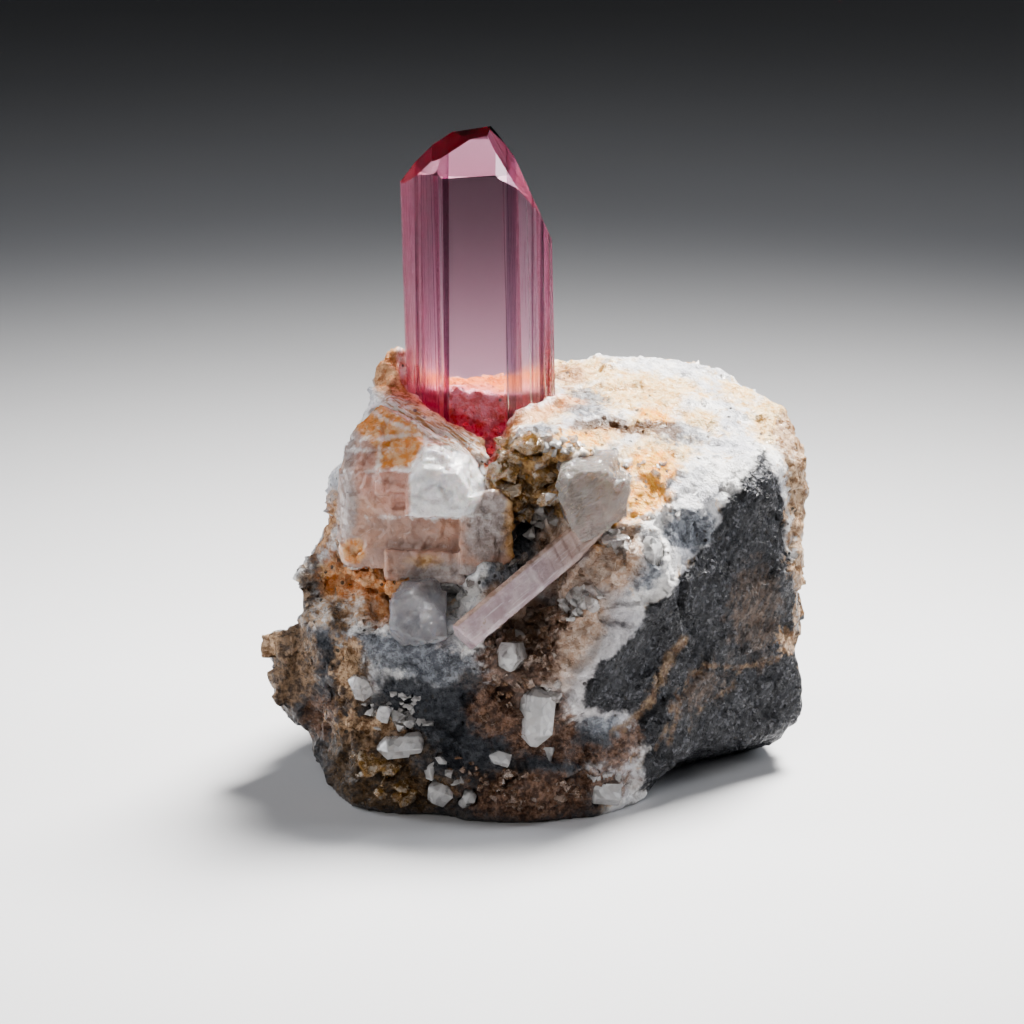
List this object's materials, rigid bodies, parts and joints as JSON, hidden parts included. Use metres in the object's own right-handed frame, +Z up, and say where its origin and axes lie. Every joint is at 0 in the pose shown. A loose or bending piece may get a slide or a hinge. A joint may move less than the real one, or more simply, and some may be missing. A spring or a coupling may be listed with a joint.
{
  "type": "topaz crystal on matrix",
  "caption": "Pink prismatic topaz crystal standing on a broken block of marble and schist with calcite and small quartz crystals; rests on its flat base.",
  "frame": {"origin": "middle of the flat broken base, on the surface that the specimen stands on", "axes": "+Z up along the topaz crystal, -Y towards the front where the pocket and the slender prism show, +X to the right seen from the front"},
  "size_m": [0.0487, 0.0369, 0.0569],
  "materials": {
    "topaz": "glossy transparent pink crystal",
    "pale_topaz": "satin translucent pale crystal, striated",
    "calcite": "translucent cleaved calcite",
    "quartz": "glossy clear crystal",
    "rock": "rough opaque marble and dark schist"
  },
  "bodies": {
    "root": {"matrix_rock": "rock", "topaz_crystal": "topaz", "slender_prism": "pale_topaz", "calcite_block_left": "calcite", "calcite_block_right": "calcite", "calcite_lump_low": "calcite", "quartz_crystal_1": "quartz", "quartz_crystal_2": "quartz", "quartz_crystal_3": "quartz", "quartz_crystal_4": "quartz", "quartz_crystal_5": "quartz", "quartz_crystal_6": "quartz", "quartz_crystal_7": "quartz", "quartz_crystal_8": "quartz", "quartz_crystal_9": "quartz", "quartz_crystal_10": "quartz", "quartz_crystal_11": "quartz", "quartz_crystal_12": "quartz"}
  },
  "joints": []
}
